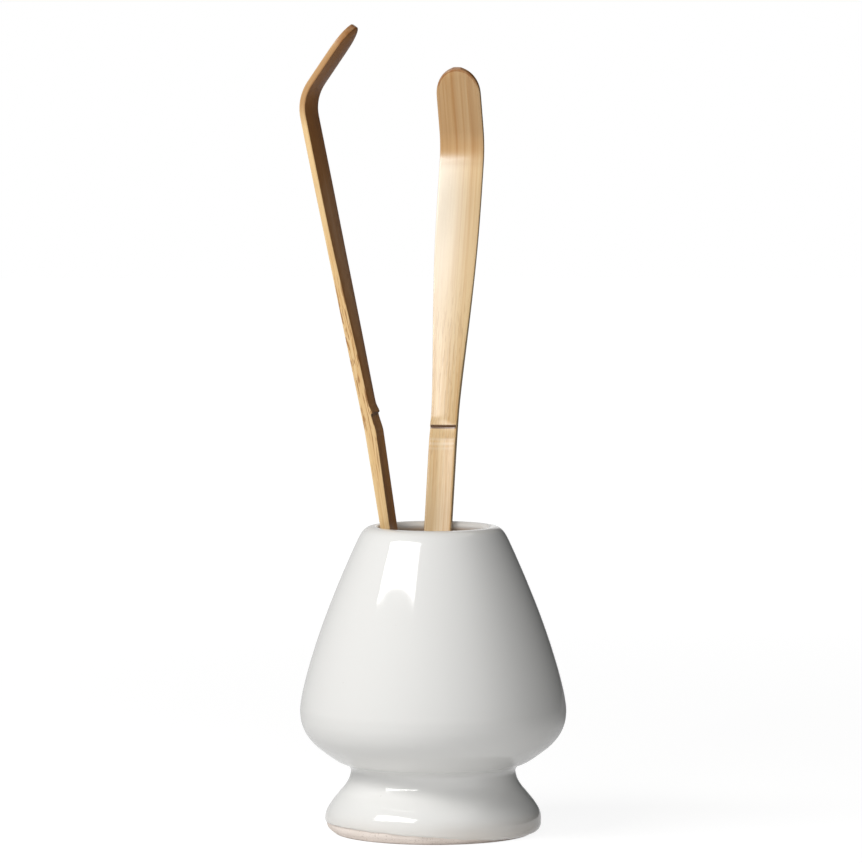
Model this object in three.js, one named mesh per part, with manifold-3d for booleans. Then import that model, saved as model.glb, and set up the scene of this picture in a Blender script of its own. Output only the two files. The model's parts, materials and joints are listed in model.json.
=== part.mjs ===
// A whisk holder of glazed stoneware with two bamboo tea scoops standing in it.
// Millimetres, +Z up. The holder's base is centred on the origin and its front faces -Y.

import * as THREE from 'three';
import { mergeVertices } from 'three/addons/utils/BufferGeometryUtils.js';
import Module from 'manifold-3d';

const wasm = await Module();
wasm.setup();

// Holder: driving sizes
const height = 70;
const baseRadius = 23.1; // where the foot stands
const footRadius = 24.65; // widest part of the flared foot
const footHeight = 3.0; // level of that widest part
const neckRadius = 18.9;
const neckHeight = 14.0;
const bellyRadius = 30.4;
const bellyHeight = 27.5;
const shoulderRadius = 17.2; // outer edge of the rim, where the cone ends
const shoulderDrop = 3.3; // that edge below the crest
const coneSwell = 1.2; // how far the cone bulges beyond a straight line
const mouthRadius = 12.4; // narrowest ring of the mouth
const lipRadius = 1.1; // rounding of the lip
const wall = 4.3;
const neckBore = 14.6;
const wellRadius = 19.2;
const wellHeight = 9.0;
const neckFlare = 2.5; // the belly springs from the neck over this
const floorHeight = 6.2;
const glazeThickness = 0.35;
const glazeLineLeft = 2.5; // bare clay shows below this on the left
const glazeLineTilt = THREE.MathUtils.degToRad(3.85); // the line falls to the right
const glazeLineNod = THREE.MathUtils.degToRad(-2.3); // and rises a little to the front
const glazeEdgeAboveBase = 0.5;
const turns = 40; // flat sides of each turned surface

// Tea scoops: driving sizes, the same bamboo blank for both
const handleWidth = 6.25;
const bladeWidth = 10.4;
const footThickness = 2.0;
const nodeThickness = 2.25;
const bladeThickness = 1.45;
const nodeRidge = 0.5; // the joint of the bamboo stands out on the front
const lipFlare = 0.5; // and so does the sheath line just above it
const nodeKink = THREE.MathUtils.degToRad(2.4);
const bendAngle = THREE.MathUtils.degToRad(47);
const bendRadius = 10;
const tipLength = 6.5; // rounded end of the blade
const hollow = 0.18; // the front of the handle is dished by this
const crown = 0.25; // and the front above the joint is rounded by this

// Where each scoop stands: foot on the floor, back against the lip
const seatGap = 0.2;
const scoops = [
  {
    name: 'left_scoop', foot: [-0.1, 0.8], restAngle: 165, twist: -3,
    handle: 89.9, upper: 73.3, blade: 20.1, color: 0xd9b57e,
  },
  {
    name: 'right_scoop', foot: [-2.6, -13.6], restAngle: 83.5, twist: -3.5,
    handle: 90.5, upper: 70.2, blade: 20, color: 0xe3c896,
  },
];

function smooth(points, count) {
  const path = points.map(([r, z]) => new THREE.Vector3(r, z, 0));
  const curve = new THREE.CatmullRomCurve3(path, false, 'centripetal');
  return curve.getPoints(count).map((p) => new THREE.Vector2(p.x, p.y));
}

// Outside of the glaze, from the standing edge to the rim's outer edge
function outsideCurve() {
  const rise = height - shoulderDrop - bellyHeight;
  const onCone = (share, swell) => [
    THREE.MathUtils.lerp(bellyRadius, shoulderRadius, share) + swell * coneSwell,
    bellyHeight + share * rise,
  ];
  const foot = smooth([
    [baseRadius, 0],
    [footRadius - 0.3, footHeight * 0.42],
    [footRadius, footHeight],
    [footRadius - 1.2, footHeight + 3.5],
    [neckRadius + 1, neckHeight - 3],
    [neckRadius, neckHeight],
  ], 8);
  const belly = smooth([
    [neckRadius, neckHeight],
    [neckRadius + neckFlare * 1.24, neckHeight + neckFlare],
    [bellyRadius - 5.5, neckHeight + 4.6],
    [bellyRadius - 0.7, bellyHeight - 3.5],
    [bellyRadius, bellyHeight],
    onCone(0.165, 0.92),
    onCone(0.52, 1.1),
    onCone(0.73, 0.83),
    [shoulderRadius, height - shoulderDrop],
  ], 14);
  return [...foot, ...belly.slice(1)];
}

// Rounded lip: out from the shoulder, over the crest and down to the narrow ring
const lipCentre = new THREE.Vector2(mouthRadius + lipRadius, height - lipRadius);

function lipCurve() {
  const brow = smooth([
    [shoulderRadius, height - shoulderDrop],
    [shoulderRadius - 0.9, height - 1.5],
    [shoulderRadius - 2.1, height - 0.35],
    [lipCentre.x, height],
  ], 3);
  const inner = [];
  for (let step = 1; step <= 3; step += 1) {
    const angle = (Math.PI / 2) * (1 + step / 3);
    inner.push(new THREE.Vector2(
      lipCentre.x + lipRadius * Math.cos(angle),
      lipCentre.y + lipRadius * Math.sin(angle),
    ));
  }
  return [...brow.slice(1), ...inner];
}

// Inside of the glaze, from the narrow ring to the middle of the floor
function insideCurve() {
  const onWall = (share) => [
    THREE.MathUtils.lerp(bellyRadius, shoulderRadius, share) + 0.7 * coneSwell - wall,
    THREE.MathUtils.lerp(bellyHeight, height - shoulderDrop, share),
  ];
  return smooth([
    [mouthRadius, height - lipRadius],
    onWall(0.78),
    onWall(0.47),
    [bellyRadius - wall, bellyHeight],
    [bellyRadius - wall - 3.2, neckHeight + 6],
    [neckBore, neckHeight],
    [wellRadius, wellHeight],
    [wellRadius - 2, floorHeight + 0.2],
    [wellRadius - 6, floorHeight],
    [0, floorHeight],
  ], 14);
}

const glazeSkin = [...outsideCurve(), ...lipCurve(), ...insideCurve().slice(1)];

// The clay's own surface lies one glaze thickness under the glaze
function sunk(curve, depth) {
  return curve.map((point, index) => {
    const before = curve[Math.max(index - 1, 0)];
    const after = curve[Math.min(index + 1, curve.length - 1)];
    const along = after.clone().sub(before).normalize();
    if (index === 0) return new THREE.Vector2(point.x - depth, point.y);
    if (index === curve.length - 1) return new THREE.Vector2(0, point.y - depth);
    return new THREE.Vector2(point.x - along.y * depth, point.y + along.x * depth);
  });
}

const claySkin = sunk(glazeSkin, glazeThickness);

function turned(profile) {
  const lathe = new THREE.LatheGeometry(profile, turns);
  lathe.rotateX(Math.PI / 2);
  lathe.deleteAttribute('uv');
  lathe.deleteAttribute('normal');
  return mergeVertices(lathe, 1e-5);
}

function solid(geometry) {
  const mesh = new wasm.Mesh({
    numProp: 3,
    vertProperties: geometry.attributes.position.array,
    triVerts: new Uint32Array(geometry.index.array),
  });
  return new wasm.Manifold(mesh);
}

function geometryOf(body) {
  const mesh = body.getMesh();
  const geometry = new THREE.BufferGeometry();
  geometry.setAttribute('position', new THREE.BufferAttribute(mesh.vertProperties, 3));
  geometry.setIndex(new THREE.BufferAttribute(mesh.triVerts, 1));
  return geometry;
}

function clayBody() {
  return turned([new THREE.Vector2(0, 0), ...claySkin]);
}

// The glaze lies all over the clay, inside and out, down to a slanting line on the foot
function glazeCoat() {
  const start = glazeSkin.findIndex((point) => point.y > glazeEdgeAboveBase);
  const outer = glazeSkin.slice(start);
  const inner = claySkin.slice(start).reverse();
  const coat = solid(turned([...inner, ...outer]));
  const reach = 4 * bellyRadius;
  const below = new THREE.BoxGeometry(reach, reach, reach);
  below.translate(0, 0, -reach / 2);
  below.rotateX(glazeLineNod);
  below.rotateY(glazeLineTilt);
  below.translate(0, 0, glazeLineLeft - footRadius * Math.tan(glazeLineTilt));
  below.deleteAttribute('uv');
  below.deleteAttribute('normal');
  return geometryOf(coat.subtract(solid(mergeVertices(below, 1e-5))));
}

// How far the front stands out at the node, by the distance s from the foot
function nodeRelief(s, handle) {
  const above = s - handle;
  if (above > 2.4 || above < -34.2) return 0;
  if (above >= 0) return lipFlare * (1 - above / 2.4);
  if (above > -0.4) return lipFlare * 0.3;
  if (above > -4.2) return nodeRidge * (0.3 + 0.7 * (-above / 4.2));
  return nodeRidge * (1 - (-above - 4.2) / 30);
}

function widthAt(s, handle, length) {
  const flare = THREE.MathUtils.smootherstep(s, handle + 4, handle + 62);
  const full = handleWidth + (bladeWidth - handleWidth) * Math.sqrt(flare);
  const intoTip = Math.max(0, s - (length - tipLength)) / tipLength;
  return full * Math.sqrt(Math.max(1 - intoTip * intoTip, 0.04));
}

function thicknessAt(s, handle) {
  if (s < handle) return THREE.MathUtils.lerp(footThickness, nodeThickness, s / handle);
  const thin = THREE.MathUtils.smoothstep(s, handle + 6, handle + 45);
  return THREE.MathUtils.lerp(nodeThickness, bladeThickness, thin);
}

// Distances from the foot at which a scoop has a cross section
function stationsOf(handle, upper, blade) {
  const bendLength = bendRadius * bendAngle;
  const straightLoss = bendRadius * Math.tan(bendAngle / 2);
  const bendStart = handle + upper - straightLoss;
  const bendEnd = bendStart + bendLength;
  const length = bendEnd + blade - straightLoss;
  const stations = [0, 30, 60, handle - 8, handle - 6, handle - 4.2, handle - 2.4, handle - 0.4];
  stations.push(handle, handle + 1.2, handle + 2.4);
  for (let step = 1; step <= 7; step += 1) {
    stations.push(handle + 2.4 + ((bendStart - handle - 2.4) * step) / 8);
  }
  for (let step = 0; step <= 6; step += 1) stations.push(bendStart + (bendLength * step) / 6);
  for (let step = 1; step <= 2; step += 1) {
    stations.push(bendEnd + ((length - tipLength - bendEnd) * step) / 2);
  }
  for (const share of [0.35, 0.62, 0.82, 0.94, 1]) {
    stations.push(length - tipLength + tipLength * share);
  }
  return { stations, bendStart, bendEnd, length };
}

// Cross section, anticlockwise seen from above: x across, y from the front (-) to the back (+)
function sectionOf(width, thickness, relief, dished) {
  const half = width / 2;
  const deep = thickness / 2;
  const corner = Math.min(0.45, deep * 0.6, half * 0.4);
  const dish = dished * Math.min(1, width / handleWidth);
  const front = -deep - relief;
  return [
    [-half + corner, front], [-half * 0.45, front + dish], [half * 0.45, front + dish],
    [half - corner, front], [half, front + corner], [half, deep - corner],
    [half - corner, deep], [0, deep + hollow * 0.5], [-half + corner, deep],
    [-half, deep - corner], [-half, front + corner],
  ];
}

// A scoop standing upright on its foot at the origin, front face to -Y
function scoopGeometry({ handle, upper, blade }) {
  const { stations, bendStart, bendEnd, length } = stationsOf(handle, upper, blade);
  const leanAt = (s) => {
    const kink = s > handle - 4.2 ? -nodeKink : 0;
    const turn = THREE.MathUtils.clamp((s - bendStart) / (bendEnd - bendStart), 0, 1);
    return kink + bendAngle * turn;
  };
  const positions = [];
  let y = 0;
  let z = 0;
  let last = 0;
  for (const s of stations) {
    const middle = leanAt((s + last) / 2);
    y -= Math.sin(middle) * (s - last);
    z += Math.cos(middle) * (s - last);
    last = s;
    const lean = leanAt(s);
    const section = sectionOf(
      widthAt(s, handle, length),
      thicknessAt(s, handle),
      nodeRelief(s, handle),
      s > handle ? -crown : hollow,
    );
    for (const [across, deep] of section) {
      positions.push(across, y + deep * Math.cos(lean), z + deep * Math.sin(lean));
    }
  }
  return closedLoft(positions, stations.length, 11);
}

function closedLoft(positions, rings, sides) {
  const index = [];
  for (let ring = 0; ring + 1 < rings; ring += 1) {
    for (let side = 0; side < sides; side += 1) {
      const a = ring * sides + side;
      const b = ring * sides + ((side + 1) % sides);
      index.push(a, b, b + sides, a, b + sides, a + sides);
    }
  }
  const top = (rings - 1) * sides;
  for (let side = 1; side + 1 < sides; side += 1) {
    index.push(0, side + 1, side);
    index.push(top, top + side, top + side + 1);
  }
  const geometry = new THREE.BufferGeometry();
  geometry.setAttribute('position', new THREE.Float32BufferAttribute(positions, 3));
  geometry.setIndex(index);
  return geometry;
}

// Turns and moves an upright scoop to its seat: foot on the floor, back just off the lip
function seat(mesh, { foot, restAngle, twist, handle }) {
  const towards = (degrees) => {
    const angle = THREE.MathUtils.degToRad(degrees);
    return new THREE.Vector3(Math.cos(angle), Math.sin(angle), 0);
  };
  const outward = towards(restAngle);
  const facing = towards(restAngle + twist);
  const turn = Math.abs(THREE.MathUtils.degToRad(twist));
  const touch = height - floorHeight;
  const thickness = thicknessAt(touch, handle);
  const origin = new THREE.Vector3(foot[0], foot[1], floorHeight + seatGap);
  const shaft = new THREE.Vector3(0, 0, 1);
  const across = new THREE.Vector3();
  const back = new THREE.Vector3();
  for (let pass = 0; pass < 6; pass += 1) {
    back.copy(facing).addScaledVector(shaft, -facing.dot(shaft)).normalize();
    across.crossVectors(back, shaft);
    const lean = Math.acos(shaft.z);
    const corner = lipCentre.x - (lipRadius + seatGap) / Math.cos(lean);
    const deep = (thickness / 2 + hollow / 2) / Math.cos(lean);
    const half = handleWidth / 2;
    const aside = half * Math.cos(turn) - deep * Math.sin(turn);
    const reach = Math.sqrt(corner ** 2 - aside ** 2) - deep * Math.cos(turn) - half * Math.sin(turn);
    const rest = outward.clone().multiplyScalar(reach).setZ(lipCentre.y);
    origin.z = floorHeight + seatGap
      + (footThickness / 2) * Math.abs(back.z) + (handleWidth / 2) * Math.abs(across.z);
    shaft.subVectors(rest, origin).normalize();
  }
  back.copy(facing).addScaledVector(shaft, -facing.dot(shaft)).normalize();
  across.crossVectors(back, shaft);
  mesh.quaternion.setFromRotationMatrix(new THREE.Matrix4().makeBasis(across, back, shaft));
  mesh.position.copy(origin);
  console.log(mesh.name, 'stands at', origin.toArray().map((v) => v.toFixed(4)).join(' '));
  console.log(mesh.name, 'lifts along', shaft.toArray().map((v) => v.toFixed(6)).join(' '));
}

function material(color, roughness) {
  return new THREE.MeshStandardMaterial({ color, roughness, metalness: 0 });
}

function named(name, geometry, look) {
  const mesh = new THREE.Mesh(geometry, look);
  mesh.name = name;
  return mesh;
}

const holder = new THREE.Group();
holder.add(named('clay_body', clayBody(), material(0xd8ccc0, 0.85)));
holder.add(named('glaze_coat', glazeCoat(), material(0xefedea, 0.12)));
for (const scoop of scoops) {
  const mesh = named(scoop.name, scoopGeometry(scoop), material(scoop.color, 0.45));
  seat(mesh, scoop);
  holder.add(mesh);
}

export default holder;
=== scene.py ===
"""A glazed whisk holder with two bamboo tea scoops standing in it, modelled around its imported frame."""

import json
import math

import bpy
import numpy as np
from mathutils import Matrix, Vector, noise


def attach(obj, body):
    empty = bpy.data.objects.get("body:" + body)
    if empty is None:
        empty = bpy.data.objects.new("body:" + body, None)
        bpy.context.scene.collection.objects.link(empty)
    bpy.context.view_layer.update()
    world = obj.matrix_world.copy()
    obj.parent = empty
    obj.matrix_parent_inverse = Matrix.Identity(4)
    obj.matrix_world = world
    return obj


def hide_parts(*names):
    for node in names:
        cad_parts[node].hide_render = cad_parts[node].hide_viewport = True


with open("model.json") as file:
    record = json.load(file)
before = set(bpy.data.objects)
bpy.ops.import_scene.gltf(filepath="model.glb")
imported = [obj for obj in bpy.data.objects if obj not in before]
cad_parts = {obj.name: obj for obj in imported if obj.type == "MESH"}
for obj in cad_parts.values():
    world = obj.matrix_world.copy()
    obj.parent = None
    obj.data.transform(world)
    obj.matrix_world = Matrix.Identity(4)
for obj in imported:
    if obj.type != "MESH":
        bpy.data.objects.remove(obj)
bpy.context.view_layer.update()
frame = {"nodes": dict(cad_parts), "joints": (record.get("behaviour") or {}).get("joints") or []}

bl_info = {
    "name": "Whisk Holder",
    "version": (1, 0, 0),
    "blender": (4, 5, 0),
    "location": "View3D > Sidebar > Whisk Holder",
    "description": "Models a glazed whisk holder and its bamboo tea scoops",
    "category": "Object",
}

MM = 0.001


def length_property(name, description, default_mm):
    return bpy.props.FloatProperty(
        name=name, description=description, default=default_mm * MM,
        min=0.0, precision=5, unit="LENGTH", subtype="DISTANCE",
    )


def angle_property(name, description, default_deg):
    return bpy.props.FloatProperty(
        name=name, description=description, default=math.radians(default_deg),
        unit="ROTATION", subtype="ANGLE",
    )


def colour_property(name, description, red, green, blue):
    """A colour named by its screen values from 0 to 255."""
    linear = [((c / 255 + 0.055) / 1.055) ** 2.4 for c in (red, green, blue)]
    return bpy.props.FloatVectorProperty(
        name=name, description=description, default=linear, size=3,
        min=0.0, max=1.0, subtype="COLOR",
    )


class HolderSizes(bpy.types.PropertyGroup):
    """Sizes of the turned holder"""

    height: length_property("Height", "From the table to the rim", 70)
    base_radius: length_property("Base", "Radius where the foot stands", 23.1)
    foot_radius: length_property("Foot", "Widest radius of the flared foot", 24.65)
    neck_radius: length_property("Neck", "Narrowest radius, above the foot", 18.85)
    belly_radius: length_property("Belly", "Widest radius", 30.35)
    mouth_radius: length_property("Mouth", "Radius of the opening", 12.4)
    lip_radius: length_property("Lip", "Rounding of the rim", 1.1)
    floor_height: length_property("Floor", "Inside floor above the table", 6.2)
    glaze: length_property("Glaze", "Thickness of the glaze", 0.35)
    glaze_line: length_property("Glaze line", "Height of bare clay on the left", 2.5)
    line_tilt: angle_property("Line tilt", "How the glaze line falls to the right", 3.85)
    line_nod: angle_property("Line nod", "How the glaze line rises to the front", 2.3)
    steps: bpy.props.IntProperty(name="Steps", description="Steps of a full turn", default=144)


class ScoopSizes(bpy.types.PropertyGroup):
    """Sizes of the bamboo tea scoops"""

    handle_width: length_property("Handle", "Width of the handle", 6.25)
    blade_width: length_property("Blade", "Width of the blade", 10.4)
    foot_thickness: length_property("Foot", "Thickness at the foot", 2.0)
    node_thickness: length_property("Node", "Thickness at the joint", 2.25)
    blade_thickness: length_property("Blade edge", "Thickness at the blade", 1.45)
    ridge: length_property("Ridge", "How far the joint stands out", 0.5)
    flare: length_property("Sheath line", "How far the line above it stands out", 0.5)
    kink: angle_property("Kink", "Lean of the upper part at the joint", 2.4)
    bend: angle_property("Bend", "Turn of the blade", 47)
    bend_radius: length_property("Bend radius", "Radius of that turn", 10)
    tip: length_property("Tip", "Length of the rounded end", 6.5)
    dish: length_property("Dish", "Hollow of the handle's front", 0.18)
    crown: length_property("Crown", "Rounding of the front above the joint", 0.25)


class Finishes(bpy.types.PropertyGroup):
    """Colours of the glaze, the clay and the bamboo, painted shade and highlight among them"""

    glaze: colour_property("Glaze", "White glaze", 239, 239, 237)
    glaze_thin: colour_property("Thin glaze", "Glaze where it runs thin", 228, 219, 208)
    # Painted shade: a darker, warmer glaze colour for the inside of the mouth under the rim
    glaze_inside_shade: colour_property("Inner glaze", "Thin glaze inside the mouth", 196, 172, 150)
    clay: colour_property("Clay", "Bare fired clay", 250, 239, 231)
    clay_speck: colour_property("Clay specks", "Grit in the clay", 176, 158, 142)
    bamboo: colour_property("Bamboo", "Polished bamboo", 240, 208, 155)
    # Also the painted highlight on one side of the right scoop's upper part, and the pale rings at the joint
    pale_rings_and_highlight: colour_property("Pale bamboo", "Paler side of the right scoop's upper part", 255, 243, 222)
    fibre: colour_property("Fibre", "Darker fibres of the bamboo", 212, 160, 90)
    # Also the painted shade that darkens the left scoop's front face
    toasted_and_painted_shade: colour_property("Toasted", "Heated bamboo of the bend and tip", 158, 102, 48)
    notch: colour_property("Notch", "Dark line at the joint", 92, 56, 30)


# Each scoop: its node and body, the way its back faces in degrees, its three lengths in mm,
# and then how much it has of each mark: fibre dashes, painted shade on the front, a painted highlight
# on one side of the upper part, rings at the joint, heated blade and polish
SCOOPS = (
    {"name": "left_scoop", "facing": 164, "handle": 89.9, "upper": 73.3, "blade": 20.1,
     "dashes": 0.8, "shade": 1.0, "painted_highlight": 0.0, "rings": 0.04, "heat": 0.75, "polish": 0.0},
    {"name": "right_scoop", "facing": 80, "handle": 90.5, "upper": 70.2, "blade": 20.0,
     "dashes": 0.2, "shade": 0.0, "painted_highlight": 1.0, "rings": 0.22, "heat": 0.55, "polish": 0.4},
)


def only(obj):
    """Makes obj the one selected and active object."""
    bpy.ops.object.select_all(action="DESELECT")
    obj.select_set(True)
    bpy.context.view_layer.objects.active = obj


def apply_modifier(obj, kind, **settings):
    modifier = obj.modifiers.new(kind.title(), kind)
    for key, value in settings.items():
        setattr(modifier, key, value)
    only(obj)
    bpy.ops.object.modifier_apply(modifier=modifier.name)


# Materials


class Nodes:
    """A short way to lay out a material's nodes."""

    def __init__(self, name):
        self.material = bpy.data.materials.new(name)
        self.material.use_nodes = True
        self.tree = self.material.node_tree
        self.shader = self.tree.nodes["Principled BSDF"]

    def add(self, kind, inputs=None, **settings):
        node = self.tree.nodes.new(kind)
        for key, value in settings.items():
            setattr(node, key, value)
        for key, value in (inputs or {}).items():
            self.feed(node.inputs[key], value)
        return node

    def feed(self, socket, value):
        if isinstance(value, bpy.types.NodeSocket):
            self.tree.links.new(value, socket)
        else:
            socket.default_value = value

    def maths(self, operation, a, b=0.0, clamp=False):
        node = self.add("ShaderNodeMath", {0: a, 1: b}, operation=operation, use_clamp=clamp)
        return node.outputs[0]

    def ramp(self, value, low, high, start=0.0, end=1.0):
        """value mapped smoothly from low..high to start..end"""
        node = self.add(
            "ShaderNodeMapRange",
            {"Value": value, "From Min": low, "From Max": high, "To Min": start, "To Max": end},
            interpolation_type="SMOOTHSTEP",
        )
        return node.outputs["Result"]

    def mix(self, factor, first, second):
        node = self.add("ShaderNodeMix", data_type="RGBA")
        self.feed(node.inputs[0], factor)
        self.feed(node.inputs[6], first)
        self.feed(node.inputs[7], second)
        return node.outputs[2]

    def noise(self, vector, scale, detail=3.0, roughness=0.5):
        inputs = {"Vector": vector, "Scale": scale, "Detail": detail, "Roughness": roughness}
        return self.add("ShaderNodeTexNoise", inputs).outputs["Fac"]

    def bump(self, height, strength, distance):
        inputs = {"Height": height, "Strength": strength, "Distance": distance}
        self.feed(self.shader.inputs["Normal"], self.add("ShaderNodeBump", inputs).outputs[0])


def solid(colour):
    return (*colour, 1.0)


def glaze_material(colours, sizes):
    n = Nodes("white_glaze")
    where = n.add("ShaderNodeTexCoord").outputs["Object"]
    height = n.add("ShaderNodeSeparateXYZ", {0: where}).outputs["Z"]
    flat = n.add("ShaderNodeVectorMath", {0: where, 1: (1, 1, 0)}, operation="MULTIPLY").outputs[0]
    reach = n.add("ShaderNodeVectorMath", {0: flat}, operation="LENGTH").outputs["Value"]
    cloud = n.noise(where, 55.0, 4.0)
    near_foot = n.ramp(height, 0.001, 0.0065, 0.75, 0.0)
    near_rim = n.ramp(height, sizes.height - 0.0014, sizes.height, 0.0, 0.35)
    thin = n.maths("MULTIPLY", n.maths("ADD", near_foot, near_rim), n.ramp(cloud, 0.3, 0.7, 0.45, 1.0))
    base = n.mix(thin, solid(colours.glaze), solid(colours.glaze_thin))
    # Painted shade: inside the mouth, just under the rim, the glaze darkens towards the inner shade colour
    under_rim = n.ramp(height, sizes.height - 0.0022, sizes.height - 0.0009, 1.0, 0.0)
    in_mouth = n.ramp(reach, sizes.mouth_radius + 0.003, sizes.mouth_radius + 0.0035, 1.0, 0.0)
    in_mouth = n.maths("MULTIPLY", in_mouth, n.ramp(height, 0.045, 0.05))
    base = n.mix(n.maths("MULTIPLY", under_rim, in_mouth), base, solid(colours.glaze_inside_shade))
    pin = n.add("ShaderNodeTexVoronoi", {"Vector": where, "Scale": 420.0, "Randomness": 1.0})
    pinhole = n.ramp(pin.outputs["Distance"], 0.03, 0.07, 1.0, 0.0)
    rare = n.maths("GREATER_THAN", n.noise(where, 130.0, 1.0), 0.66)
    spots = n.maths("MULTIPLY", pinhole, rare)
    n.feed(n.shader.inputs["Base Color"], n.mix(n.maths("MULTIPLY", spots, 0.35), base, solid(colours.clay_speck)))
    n.feed(n.shader.inputs["Roughness"], n.ramp(n.noise(where, 90.0, 2.0), 0.3, 0.7, 0.05, 0.1))
    n.shader.inputs["IOR"].default_value = 1.52
    swell = n.maths("MULTIPLY", n.noise(where, 38.0, 2.0), 1.0)
    n.bump(n.maths("SUBTRACT", swell, n.maths("MULTIPLY", spots, 0.5)), 0.1, 0.0006)
    return n.material


def clay_material(colours):
    n = Nodes("bare_clay")
    where = n.add("ShaderNodeTexCoord").outputs["Object"]
    grit = n.noise(where, 1900.0, 2.0, 0.7)
    speck = n.ramp(grit, 0.58, 0.72, 0.0, 0.45)
    cloud = n.ramp(n.noise(where, 140.0, 3.0), 0.35, 0.65, 0.0, 0.12)
    mark = n.maths("ADD", speck, cloud, clamp=True)
    n.feed(n.shader.inputs["Base Color"], n.mix(mark, solid(colours.clay), solid(colours.clay_speck)))
    n.shader.inputs["Roughness"].default_value = 0.85
    n.bump(grit, 0.5, 0.00012)
    return n.material


def bamboo_material(colours, name, scoop, blank):
    """Bamboo whose fibres run along the blank that the scoop was bent from."""
    sizes, handle, end = blank.sizes, blank.handle, blank.length
    bend_at = handle + scoop["upper"] * MM
    n = Nodes(name)
    grain = n.add("ShaderNodeAttribute", attribute_name="grain").outputs["Vector"]
    along = n.add("ShaderNodeSeparateXYZ", {0: grain}).outputs["Z"]
    front = n.add("ShaderNodeAttribute", attribute_name="front").outputs["Fac"]
    on_front = n.ramp(front, 0.35, 0.65)
    fine = n.add("ShaderNodeMapping", {"Vector": grain, "Scale": (2600.0, 2600.0, 30.0)})
    broad = n.add("ShaderNodeMapping", {"Vector": grain, "Scale": (620.0, 620.0, 11.0)})
    fibres = n.noise(fine.outputs[0], 1.0, 3.0, 0.6)
    streaks = n.noise(broad.outputs[0], 1.0, 3.0, 0.55)
    shade = n.maths("ADD", n.ramp(fibres, 0.35, 0.75, 0.0, 0.45), n.ramp(streaks, 0.4, 0.75, 0.0, 0.5))
    base = n.mix(shade, solid(colours.bamboo), solid(colours.fibre))
    across = n.add("ShaderNodeSeparateXYZ", {0: grain}).outputs["X"]
    # Painted highlight: one side of the upper part is paler, from above the joint up to the bend
    painted_highlight = n.ramp(across, 0.004, -0.004, 0.1, 0.85)
    painted_highlight = n.maths("MULTIPLY", painted_highlight, n.ramp(along, handle, handle + 0.058, 0.1, 1.0))
    painted_highlight = n.maths("MULTIPLY", painted_highlight, n.ramp(along, bend_at - 0.005, bend_at - 0.001, 1.0, 0.0))
    painted_highlight = n.maths("MULTIPLY", painted_highlight, n.maths("GREATER_THAN", along, handle))
    base = n.mix(n.maths("MULTIPLY", painted_highlight, scoop["painted_highlight"]), base, solid(colours.pale_rings_and_highlight))
    heat = n.ramp(along, bend_at - 0.007, bend_at, 0.0, scoop["heat"])
    into_tip = n.maths("DIVIDE", n.maths("SUBTRACT", along, end - sizes.tip), sizes.tip, clamp=True)
    aside = n.maths("DIVIDE", across, sizes.blade_width / 2)
    rim = n.maths("ADD", n.maths("POWER", aside, 2.0), n.maths("POWER", into_tip, 2.0))
    ends = n.maths("MULTIPLY", n.ramp(rim, 0.84, 0.9, 0.0, 0.45), n.ramp(into_tip, 0.2, 0.5))
    warm = n.maths("ADD", heat, ends, clamp=True)
    warm = n.maths("MULTIPLY", warm, n.ramp(streaks, 0.3, 0.7, 0.75, 1.0))
    base = n.mix(warm, base, solid(colours.toasted_and_painted_shade))
    dash = n.add("ShaderNodeMapping", {"Vector": grain, "Scale": (3400.0, 3400.0, 240.0)})
    dashes = n.ramp(n.noise(dash.outputs[0], 1.0, 1.0), 0.54, 0.62, 0.0, scoop["dashes"])
    near = n.ramp(n.maths("ABSOLUTE", n.maths("SUBTRACT", along, handle + 0.010)), 0.012, 0.03, 1.0, 0.12)
    base = n.mix(n.maths("MULTIPLY", dashes, near), base, solid(colours.toasted_and_painted_shade))
    # Painted shade: the front face is darkened towards the toasted colour by the scoop's shade amount
    base = n.mix(n.maths("MULTIPLY", on_front, scoop["shade"]), base, solid(colours.toasted_and_painted_shade))
    line = n.ramp(n.maths("ABSOLUTE", n.maths("SUBTRACT", along, handle - 0.0002)), 0.00022, 0.00055, 1.0, 0.0)
    line = n.maths("MULTIPLY", line, n.maths("MULTIPLY", on_front, 0.95))
    base = n.mix(line, base, solid(colours.notch))
    ring = n.maths("SINE", n.maths("MULTIPLY", along, 5200.0))
    zone = n.ramp(n.maths("ABSOLUTE", n.maths("SUBTRACT", along, handle - 0.0042)), 0.0008, 0.0022, 1.0, 0.0)
    zone = n.maths("MULTIPLY", zone, on_front)
    base = n.mix(n.maths("MULTIPLY", n.ramp(ring, -1.0, 1.0, 0.0, scoop["rings"]), zone), base, solid(colours.pale_rings_and_highlight))
    n.feed(n.shader.inputs["Base Color"], base)
    n.feed(n.shader.inputs["Roughness"], n.ramp(fibres, 0.3, 0.7, 0.28, 0.42))
    n.shader.inputs["Coat Weight"].default_value = scoop["polish"]
    n.shader.inputs["Coat Roughness"].default_value = 0.22
    n.bump(n.maths("ADD", fibres, n.maths("MULTIPLY", n.maths("MULTIPLY", ring, zone), 0.35)), 0.25, 0.00012)
    return n.material


# The holder, turned from one outline


def smooth_line(points):
    """Points along a smooth curve drawn through these, as an (n, 2) array of radius and height."""
    data = bpy.data.curves.new("outline", "CURVE")
    data.dimensions = "3D"
    data.resolution_u = 5
    spline = data.splines.new("BEZIER")
    spline.bezier_points.add(len(points) - 1)
    for point, (radius, height) in zip(spline.bezier_points, points):
        point.co = (radius, 0.0, height)
        point.handle_left_type = "AUTO"
        point.handle_right_type = "AUTO"
    obj = bpy.data.objects.new("outline", data)
    bpy.context.collection.objects.link(obj)
    only(obj)
    bpy.ops.object.convert(target="MESH")
    line = np.array([(v.co.x, v.co.z) for v in obj.data.vertices])
    bpy.data.objects.remove(obj)
    return line


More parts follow.
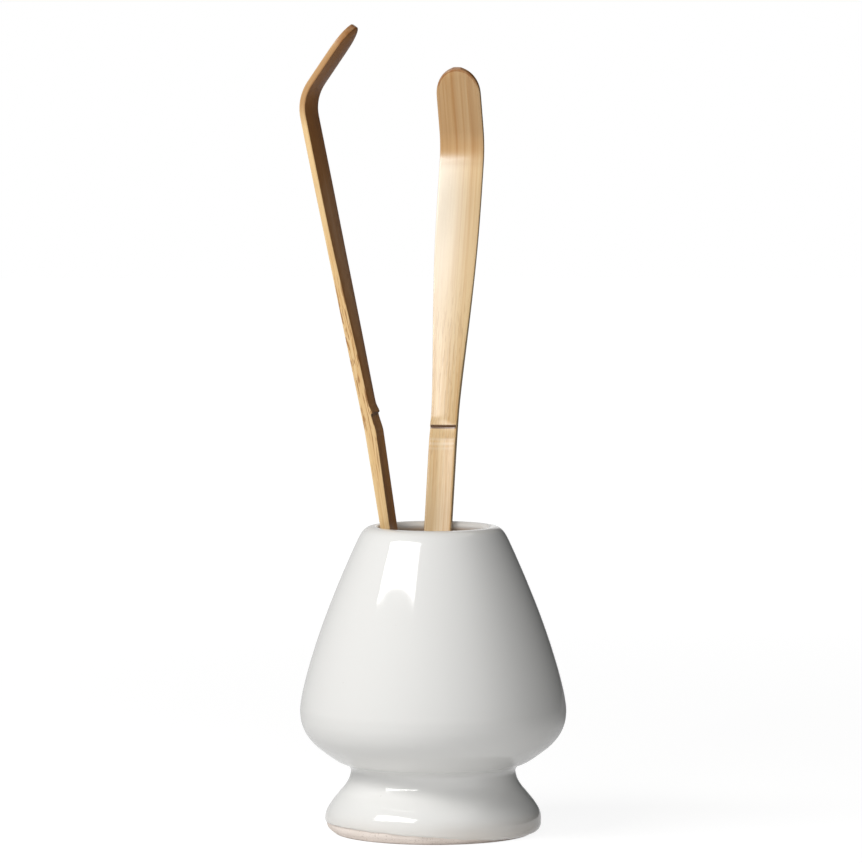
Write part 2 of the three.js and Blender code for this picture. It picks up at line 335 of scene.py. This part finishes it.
def glaze_outline(s):
    """The glazed surface from the standing edge, up, over the lip and down to the middle of the floor."""
    top = s.height
    outside = [
        (s.base_radius, 0.0), (s.foot_radius - 0.3 * MM, 1.2 * MM), (s.foot_radius, 2.9 * MM),
        (s.foot_radius - 0.2 * MM, 4.6 * MM), (s.foot_radius - 1.2 * MM, 6.5 * MM),
        (s.foot_radius - 3.15 * MM, 9 * MM), (s.neck_radius + 1.05 * MM, 11 * MM),
        (s.neck_radius + 0.15 * MM, 12.9 * MM), (s.neck_radius + 0.1 * MM, 14.8 * MM),
        (s.neck_radius + 3.1 * MM, 16.5 * MM), (s.belly_radius - 5.5 * MM, 18.5 * MM),
        (s.belly_radius - 2.6 * MM, 21 * MM), (s.belly_radius - 0.7 * MM, 24 * MM),
        (s.belly_radius, 27.5 * MM), (s.belly_radius - 0.2 * MM, 30 * MM),
        (s.belly_radius - 1.0 * MM, 34 * MM), (s.belly_radius - 2.65 * MM, 40 * MM),
        (s.belly_radius - 5.3 * MM, 48 * MM), (s.belly_radius - 8.4 * MM, 56 * MM),
        (s.belly_radius - 10.95 * MM, 62 * MM), (s.mouth_radius + 5.2 * MM, top - 4 * MM),
        (s.mouth_radius + 4.2 * MM, top - 2 * MM), (s.mouth_radius + 3.3 * MM, top - 0.8 * MM),
        (s.mouth_radius + 2.4 * MM, top - 0.2 * MM), (s.mouth_radius + s.lip_radius, top),
    ]
    lip = []
    for step in range(1, 4):
        angle = math.pi / 2 * (1 + step / 3)
        lip.append((
            s.mouth_radius + s.lip_radius * (1 + math.cos(angle)),
            top - s.lip_radius * (1 - math.sin(angle)),
        ))
    inside = [
        (s.mouth_radius + 2.4 * MM, top - 7 * MM), (s.mouth_radius + 6.2 * MM, top - 16 * MM),
        (s.mouth_radius + 9.6 * MM, top - 25 * MM), (s.belly_radius - 4.3 * MM, 28 * MM),
        (s.belly_radius - 7.6 * MM, 20 * MM), (s.neck_radius - 3.9 * MM, 14.2 * MM),
        (s.neck_radius, 9.6 * MM), (s.neck_radius - 1.2 * MM, 6.7 * MM),
        (s.neck_radius - 5 * MM, s.floor_height), (s.neck_radius - 12 * MM, s.floor_height),
        (0.0, s.floor_height),
    ]
    return smooth_line(outside + lip + inside)


def sunk(line, depth):
    """The same outline, this far under its surface."""
    along = np.gradient(line, axis=0)
    along /= np.linalg.norm(along, axis=1)[:, None]
    under = line + depth * np.column_stack([-along[:, 1], along[:, 0]])
    under[0] = (line[0][0] - depth, line[0][1])
    under[-1] = (0.0, line[-1][1] - depth)
    return under


def turn(name, line, steps):
    """Draws the outline by extruding one point along it and spins it round the axis."""
    bpy.ops.object.select_all(action="DESELECT")
    bpy.ops.mesh.primitive_plane_add(size=1.0)
    obj = bpy.context.object
    obj.name = name
    bpy.ops.object.mode_set(mode="EDIT")
    bpy.ops.mesh.select_all(action="SELECT")
    bpy.ops.mesh.merge(type="CENTER")
    here = Vector((line[0][0], 0.0, line[0][1]))
    bpy.ops.transform.translate(value=here)
    for radius, height in line[1:]:
        there = Vector((radius, 0.0, height))
        bpy.ops.mesh.extrude_region_move(TRANSFORM_OT_translate={"value": there - here})
        here = there
    bpy.ops.mesh.select_all(action="SELECT")
    bpy.ops.mesh.spin(steps=steps, angle=2 * math.pi, center=(0, 0, 0), axis=(0, 0, 1))
    bpy.ops.mesh.select_all(action="SELECT")
    bpy.ops.mesh.remove_doubles(threshold=1e-6)
    bpy.ops.mesh.normals_make_consistent(inside=False)
    bpy.ops.object.mode_set(mode="OBJECT")
    return obj


def cut_below(obj, point, normal):
    """Cuts the piece with a plane and keeps what is above it."""
    only(obj)
    bpy.ops.object.mode_set(mode="EDIT")
    bpy.ops.mesh.select_all(action="SELECT")
    bpy.ops.mesh.bisect(plane_co=point, plane_no=normal, clear_inner=True)
    bpy.ops.object.mode_set(mode="OBJECT")


def edge_ring(mesh):
    """The vertices on the open edge of a mesh."""
    uses = {}
    for face in mesh.polygons:
        for key in face.edge_keys:
            uses[key] = uses.get(key, 0) + 1
    return {vertex for key, count in uses.items() if count == 1 for vertex in key}


class WHISK_OT_clay(bpy.types.Operator):
    """Turns the clay body that shows below the glaze"""

    bl_idname = "whisk.clay"
    bl_label = "Clay Body"

    def execute(self, context):
        sizes = context.scene.whisk_sizes
        line = sunk(glaze_outline(sizes), sizes.glaze + 0.02 * MM)
        line[0][1] = 0.25 * MM
        standing = [(0.0, 0.0), (sizes.base_radius - 0.7 * MM, 0.0)]
        obj = turn("clay_turned", np.vstack([standing, line]), sizes.steps)
        only(obj)
        bpy.ops.object.shade_smooth_by_angle(angle=math.radians(40))
        obj.data.materials.append(clay_material(context.scene.whisk_finishes))
        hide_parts("clay_body")
        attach(obj, "holder")
        return {"FINISHED"}


class WHISK_OT_glaze(bpy.types.Operator):
    """Turns the glaze over the clay, down to its slanting edge on the foot"""

    bl_idname = "whisk.glaze"
    bl_label = "Glaze"

    def execute(self, context):
        sizes = context.scene.whisk_sizes
        obj = turn("glaze_turned", glaze_outline(sizes), sizes.steps)
        middle = sizes.glaze_line - sizes.foot_radius * math.tan(sizes.line_tilt)
        normal = Vector((math.tan(sizes.line_tilt), -math.tan(-sizes.line_nod), 1.0)).normalized()
        cut_below(obj, (0, 0, middle), normal)
        cut_below(obj, (0, 0, 0.55 * MM), (0, 0, 1))
        for index in edge_ring(obj.data):
            spot = obj.data.vertices[index].co
            spot.z += 0.22 * MM * noise.noise(spot * 260.0)
            reach = math.hypot(spot.x, spot.y)
            spot.x *= 1 - 0.2 * MM / reach
            spot.y *= 1 - 0.2 * MM / reach
        apply_modifier(obj, "SOLIDIFY", thickness=sizes.glaze, offset=-1.0)
        only(obj)
        bpy.ops.object.shade_smooth_by_angle(angle=math.radians(50))
        obj.data.materials.append(glaze_material(context.scene.whisk_finishes, sizes))
        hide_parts("glaze_coat")
        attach(obj, "holder")
        return {"FINISHED"}


# The scoops, each bent from a straight blank


def ease(value, low, high):
    share = min(max((value - low) / (high - low), 0.0), 1.0)
    return share * share * (3 - 2 * share)


class Blank:
    """One scoop's shape along its length, measured from its foot."""

    CORNER = 0.28 * MM
    SIDES = 26

    def __init__(self, scoop, sizes):
        self.sizes = sizes
        self.handle = scoop["handle"] * MM
        loss = sizes.bend_radius * math.tan(sizes.bend / 2)
        self.bend_start = self.handle + scoop["upper"] * MM - loss
        self.bend_end = self.bend_start + sizes.bend_radius * sizes.bend
        self.length = self.bend_end + scoop["blade"] * MM - loss

    def stations(self):
        node = [self.handle + d * MM for d in
                (-8, -6.6, -6, -5.4, -4.8, -4.2, -3.6, -3, -2.4, -1.6, -0.9, -0.5, -0.3, -0.1, 0, 0.2, 0.6, 1.2, 1.8, 2.4, 4)]
        low = [0.0, 0.3 * MM, 1 * MM] + [self.handle * step / 9 for step in range(1, 9)]
        upper = list(np.linspace(self.handle + 7 * MM, self.bend_start, 16))
        bend = list(np.linspace(self.bend_start, self.bend_end, 13))[1:]
        blade = list(np.linspace(self.bend_end, self.length - self.sizes.tip, 5))[1:]
        tip = [self.length - self.sizes.tip * (1 - math.sin(step / 9 * math.pi / 2)) for step in range(1, 10)]
        return [s for s in low if s < self.handle - 8.5 * MM] + node + upper + bend + blade + tip

    def relief(self, s):
        above = s - self.handle
        if above >= 0:
            return self.sizes.flare * (1 - ease(above, 0, 2.4 * MM))
        if above > -0.4 * MM:
            return self.sizes.flare * 0.25
        if above > -4.2 * MM:
            return self.sizes.ridge * (0.25 + 0.75 * ease(-above, 0.4 * MM, 4.2 * MM))
        return self.sizes.ridge * max(0.0, 1 - (-above - 4.2 * MM) / (30 * MM))

    def width(self, s):
        sizes = self.sizes
        share = min(max((s - self.handle - 4 * MM) / (58 * MM), 0.0), 1.0)
        flare = share ** 3 * (share * (6 * share - 15) + 10)
        full = sizes.handle_width + (sizes.blade_width - sizes.handle_width) * math.sqrt(flare)
        into_tip = max(0.0, s - self.length + sizes.tip) / sizes.tip
        return full * math.sqrt(max(1 - into_tip ** 2, 0.04))

    def thickness(self, s):
        sizes = self.sizes
        if s < self.handle:
            return sizes.foot_thickness + (sizes.node_thickness - sizes.foot_thickness) * s / self.handle
        thin = ease(s, self.handle + 6 * MM, self.handle + 45 * MM)
        return sizes.node_thickness + (sizes.blade_thickness - sizes.node_thickness) * thin

    def section(self, s):
        """Rounded slip section: x across and y from the front (-) to the back (+)."""
        half = self.width(s) / 2
        deep = self.thickness(s) / 2
        corner = min(self.CORNER, deep * 0.5, half * 0.3)
        front, back = -deep - self.relief(s), deep
        share = ease(s, self.handle, self.handle + 2 * MM)
        dish = (1 - share) * self.sizes.dish - share * self.sizes.crown
        dish *= min(1.0, half / self.sizes.handle_width * 2)
        reach = half - corner

        def face(across, level, hollow):
            return (across * reach, level + hollow * (1 - across * across))

        def rounded(across, level, start):
            centre = level + math.copysign(corner, -level)
            turns = [math.radians(start + step) for step in (15, 45, 75)]
            return [(math.copysign(reach, across) + corner * math.cos(a), centre + corner * math.sin(a)) for a in turns]

        points = [face(share, front, dish) for share in (0, 0.25, 0.5, 0.75)]
        points += rounded(1, front, -90) + [(half, (front + back) / 2)] + rounded(1, back, 0)
        points += [face(share, back, self.sizes.dish * 0.5) for share in (0.66, 0.33, 0, -0.33, -0.66)]
        points += rounded(-1, back, 90) + [(-half, (front + back) / 2)] + rounded(-1, front, 180)
        points += [face(share, front, dish) for share in (-0.75, -0.5, -0.25)]
        return points

    def lean(self, s):
        kink = -self.sizes.kink * ease(s, self.handle - 5.5 * MM, self.handle - 2.5 * MM)
        turn_share = min(max((s - self.bend_start) / (self.bend_end - self.bend_start), 0.0), 1.0)
        return kink + self.sizes.bend * turn_share

    def path(self, stations):
        """The middle of each section on the bent scoop, as (y, z)."""
        spots = [(0.0, stations[0])]
        for last, s in zip(stations, stations[1:]):
            lean = self.lean((last + s) / 2)
            y, z = spots[-1]
            spots.append((y - math.sin(lean) * (s - last), z + math.cos(lean) * (s - last)))
        return spots


def raise_blank(name, blank, stations):
    """A round-cornered slip, extruded upwards one station at a time."""
    bpy.ops.object.select_all(action="DESELECT")
    bpy.ops.mesh.primitive_circle_add(vertices=blank.SIDES, radius=0.003, fill_type="NGON")
    obj = bpy.context.object
    obj.name = name
    bpy.ops.object.mode_set(mode="EDIT")
    bpy.ops.mesh.select_all(action="SELECT")
    for last, s in zip(stations, stations[1:]):
        bpy.ops.mesh.extrude_region_move(TRANSFORM_OT_translate={"value": (0, 0, s - last)})
    bpy.ops.mesh.select_all(action="SELECT")
    bpy.ops.mesh.normals_make_consistent(inside=False)
    bpy.ops.object.mode_set(mode="OBJECT")
    return obj


def carve_and_bend(obj, blank, stations):
    """Carves each ring of the blank to its section, notes the straight grain, and bends it."""
    mesh = obj.data
    heights = np.array([v.co.z for v in mesh.vertices])
    angles = np.array([math.atan2(v.co.y, v.co.x) for v in mesh.vertices])
    mesh.attributes.new("grain", "FLOAT_VECTOR", "POINT")
    mesh.attributes.new("front", "FLOAT", "POINT")
    grain, front = mesh.attributes["grain"], mesh.attributes["front"]
    spots = blank.path(stations)
    for level, (s, (y, z)) in enumerate(zip(stations, spots)):
        ring = np.where(np.abs(heights - (s - stations[0])) < 1e-6)[0]
        ring = sorted(ring, key=lambda i: (angles[i] + math.pi / 2 + 1e-3) % (2 * math.pi))
        section = blank.section(s)
        if len(ring) != len(section):
            raise RuntimeError(f"ring {level} of {obj.name} has {len(ring)} points")
        lean = blank.lean(s)
        for place, (index, (across, depth)) in enumerate(zip(ring, section)):
            grain.data[index].vector = (across, depth, s)
            front.data[index].value = float(place < 5 or place > blank.SIDES - 5)
            mesh.vertices[index].co = (
                across, y + depth * math.cos(lean), z + depth * math.sin(lean),
            )


def seat_matrix(scoop):
    """Where the scoop stands: its foot's middle from the frame, its shaft from its joint."""
    node = frame["nodes"][scoop["name"]]
    joint = next(j for j in frame["joints"] if j["child"] == scoop["name"])
    shaft = Vector(joint["axis"]).normalized()
    points = [v.co.copy() for v in node.data.vertices]
    lowest = min(p.dot(shaft) for p in points)
    foot = [p for p in points if p.dot(shaft) < lowest + 0.02 * MM]
    low = Vector([min(p[k] for p in foot) for k in range(3)])
    high = Vector([max(p[k] for p in foot) for k in range(3)])
    facing = math.radians(scoop["facing"])
    outward = Vector((math.cos(facing), math.sin(facing), 0))
    back = (outward - shaft * outward.dot(shaft)).normalized()
    across = back.cross(shaft)
    turned = Matrix((across, back, shaft)).transposed().to_4x4()
    return Matrix.Translation((low + high) / 2) @ turned


class WHISK_OT_scoops(bpy.types.Operator):
    """Carves and bends the two bamboo tea scoops and stands them in the holder"""

    bl_idname = "whisk.scoops"
    bl_label = "Tea Scoops"

    def execute(self, context):
        scene = context.scene
        for scoop in SCOOPS:
            blank = Blank(scoop, scene.whisk_scoop)
            stations = blank.stations()
            obj = raise_blank(scoop["name"] + "_carved", blank, stations)
            carve_and_bend(obj, blank, stations)
            obj.data.transform(seat_matrix(scoop))
            apply_modifier(obj, "SUBSURF", levels=1, render_levels=1)
            only(obj)
            bpy.ops.object.shade_smooth_by_angle(angle=math.radians(50))
            look = bamboo_material(scene.whisk_finishes, scoop["name"] + "_bamboo", scoop, blank)
            obj.data.materials.append(look)
            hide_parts(scoop["name"])
            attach(obj, scoop["name"])
        return {"FINISHED"}


# The studio


def stage_material(obj):
    """Gives the stage piece a matt material that can glow white."""
    n = Nodes(obj.name)
    n.shader.inputs["Roughness"].default_value = 1.0
    n.shader.inputs["Specular IOR Level"].default_value = 0.0
    n.shader.inputs["Emission Color"].default_value = (1, 1, 1, 1)
    n.material.cycles.emission_sampling = "NONE"
    obj.data.materials.append(n.material)
    return n


def sheet(name, size, spot, facing):
    """A flat sheet of the studio that faces a point, and its material."""
    bpy.ops.object.select_all(action="DESELECT")
    bpy.ops.mesh.primitive_plane_add(size=1.0)
    obj = bpy.context.object
    obj.name = name
    turned = (Vector(facing) - Vector(spot)).to_track_quat("Z", "Y").to_matrix().to_4x4()
    obj.data.transform(Matrix.Translation(spot) @ turned @ Matrix.Diagonal((*size, 1, 1)))
    return obj, stage_material(obj)


def lay_floor():
    """A pale floor that keeps the shadow, whitens far off and throws soft light up on the object."""
    obj, n = sheet("floor", (6, 6), (0, 0, 0), (0, 0, 1))
    path = n.add("ShaderNodeLightPath").outputs
    n.feed(n.shader.inputs["Base Color"], n.mix(path["Is Diffuse Ray"], (0.25, 0.25, 0.25, 1), (0.9, 0.9, 0.9, 1)))
    glow = n.ramp(far_out(n), 0.1, 0.8, 0.9, 1.0)
    n.feed(n.shader.inputs["Emission Strength"], n.maths("MULTIPLY", seen_by_eye(n), glow))


def far_out(n):
    """Distance from the holder's axis."""
    where = n.add("ShaderNodeTexCoord").outputs["Object"]
    flat = n.add("ShaderNodeVectorMath", {0: where, 1: (1, 1, 0)}, operation="MULTIPLY").outputs[0]
    return n.add("ShaderNodeVectorMath", {0: flat}, operation="LENGTH").outputs["Value"]


def round_the_right(n):
    """0 in front and on the left, 1 on the right and behind on the right, 0.35 behind on the left."""
    where = n.add("ShaderNodeTexCoord").outputs["Object"]
    spot = n.add("ShaderNodeSeparateXYZ", {0: where}).outputs
    angle = n.maths("ARCTAN2", spot["X"], n.maths("MULTIPLY", spot["Y"], -1.0))
    right = n.ramp(angle, math.radians(25), math.radians(95))
    right = n.maths("MULTIPLY", right, n.ramp(angle, math.radians(164), math.radians(176), 1.0, 0.0))
    left = n.ramp(angle, math.radians(-95), math.radians(-160), 0.0, 0.35)
    return n.maths("MAXIMUM", right, left)


def only_for_gloss(obj, n, strength):
    n.shader.inputs["Base Color"].default_value = (0, 0, 0, 1)
    n.feed(n.shader.inputs["Emission Strength"], strength)
    for ray in ("camera", "diffuse", "transmission", "shadow"):
        setattr(obj, "visible_" + ray, False)


def grey_surround():
    """A round wall and a low disc that only the gloss sees, dark on the right, so that edges show."""
    bpy.ops.object.select_all(action="DESELECT")
    bpy.ops.mesh.primitive_cylinder_add(vertices=128, radius=0.75, depth=1.1, end_fill_type="NOTHING")
    wall = bpy.context.object
    wall.name = "grey_wall"
    wall.data.transform(Matrix.Translation((0, 0, 0.551)))
    n = stage_material(wall)
    only_for_gloss(wall, n, n.maths("SUBTRACT", 1.0, n.maths("MULTIPLY", round_the_right(n), 0.96)))
    disc, n = sheet("grey_disc", (1.5, 1.5), (0, 0, 0.0008), (0, 0, 1))
    depth = n.ramp(far_out(n), 0.03, 0.22, 0.25, 0.75)
    tone = n.maths("SUBTRACT", 0.92, n.maths("MULTIPLY", round_the_right(n), depth))
    only_for_gloss(disc, n, tone)


def seen_by_eye(n):
    """1 for rays from the camera, or from it by way of a mirror or glass."""
    path = n.add("ShaderNodeLightPath").outputs
    either = n.maths("MAXIMUM", path["Is Camera Ray"], path["Is Glossy Ray"])
    return n.maths("MAXIMUM", either, path["Is Transmission Ray"])


def softbox(name, azimuth, elevation, distance, width, height, power, target, colour=(1, 1, 1), roll=0.0):
    """An area light that faces the target. Azimuth is from the front (-Y) towards the right."""
    lamp = bpy.data.lights.new(name, "AREA")
    lamp.shape = "RECTANGLE"
    lamp.size = width
    lamp.size_y = height
    lamp.energy = power
    lamp.color = colour
    obj = bpy.data.objects.new(name, lamp)
    bpy.context.collection.objects.link(obj)
    around, up = math.radians(azimuth), math.radians(elevation)
    away = Vector((math.sin(around) * math.cos(up), -math.cos(around) * math.cos(up), math.sin(up)))
    obj.location = Vector(target) + away * distance
    turned = away.to_track_quat("Z", "Y").to_matrix() @ Matrix.Rotation(math.radians(roll), 3, "Z")
    obj.rotation_euler = turned.to_euler()
    return obj


def light_world(scene, fill):
    world = bpy.data.worlds.new("studio")
    world.use_nodes = True
    scene.world = world
    tree = world.node_tree
    ground = tree.nodes["Background"]
    ground.inputs["Color"].default_value = (1, 1, 1, 1)
    path = tree.nodes.new("ShaderNodeLightPath").outputs
    seen = path["Is Camera Ray"]
    for name in ("Is Glossy Ray", "Is Transmission Ray"):
        either = tree.nodes.new("ShaderNodeMath")
        either.operation = "MAXIMUM"
        tree.links.new(seen, either.inputs[0])
        tree.links.new(path[name], either.inputs[1])
        seen = either.outputs[0]
    strength = tree.nodes.new("ShaderNodeMapRange")
    tree.links.new(seen, strength.inputs["Value"])
    strength.inputs["To Min"].default_value = fill
    strength.inputs["To Max"].default_value = 1.0
    tree.links.new(strength.outputs["Result"], ground.inputs["Strength"])


class WHISK_OT_studio(bpy.types.Operator):
    """Sets the floor, the grey surround, the lamps and the camera"""

    bl_idname = "whisk.studio"
    bl_label = "Studio"

    def execute(self, context):
        scene = context.scene
        scene.view_settings.view_transform = "Standard"
        light_world(scene, 0.06)
        lay_floor()
        grey_surround()
        target = (0, 0, 0.05)
        softbox("key", -51.5, 42.3, 0.62, 0.46, 0.155, 2.5, target, (1.0, 0.99, 0.975), roll=12)
        fill = softbox("front_fill", -6, 18, 1.2, 0.8, 0.6, 3.8, target)
        fill.visible_glossy = False
        camera = bpy.data.cameras.new("camera")
        camera.lens = 239.1
        camera.sensor_width = 36.0
        obj = bpy.data.objects.new("camera", camera)
        bpy.context.collection.objects.link(obj)
        obj.location = (-0.0005, -1.3, 0.181)
        obj.rotation_euler = (math.radians(90 - 3.937), 0, 0)
        scene.camera = obj
        return {"FINISHED"}


class WHISK_PT_panel(bpy.types.Panel):
    """Lists the steps in order"""

    bl_label = "Whisk Holder"
    bl_idname = "WHISK_PT_panel"
    bl_space_type = "VIEW_3D"
    bl_region_type = "UI"
    bl_category = "Whisk Holder"

    def draw(self, context):
        for step in STEPS:
            self.layout.operator(step.bl_idname)
        for group in (context.scene.whisk_sizes, context.scene.whisk_scoop, context.scene.whisk_finishes):
            box = self.layout.box()
            for name in group.bl_rna.properties.keys():
                if name not in ("rna_type", "name"):
                    box.prop(group, name)


STEPS = (WHISK_OT_studio, WHISK_OT_clay, WHISK_OT_glaze, WHISK_OT_scoops)
CLASSES = (HolderSizes, ScoopSizes, Finishes, *STEPS, WHISK_PT_panel)


def register():
    for cls in CLASSES:
        bpy.utils.register_class(cls)
    bpy.types.Scene.whisk_sizes = bpy.props.PointerProperty(type=HolderSizes)
    bpy.types.Scene.whisk_scoop = bpy.props.PointerProperty(type=ScoopSizes)
    bpy.types.Scene.whisk_finishes = bpy.props.PointerProperty(type=Finishes)


def unregister():
    del bpy.types.Scene.whisk_finishes
    del bpy.types.Scene.whisk_scoop
    del bpy.types.Scene.whisk_sizes
    for cls in reversed(CLASSES):
        bpy.utils.unregister_class(cls)


def main():
    register()
    bpy.ops.whisk.studio()
    bpy.ops.whisk.clay()
    bpy.ops.whisk.glaze()
    bpy.ops.whisk.scoops()


if __name__ == "__main__":
    main()
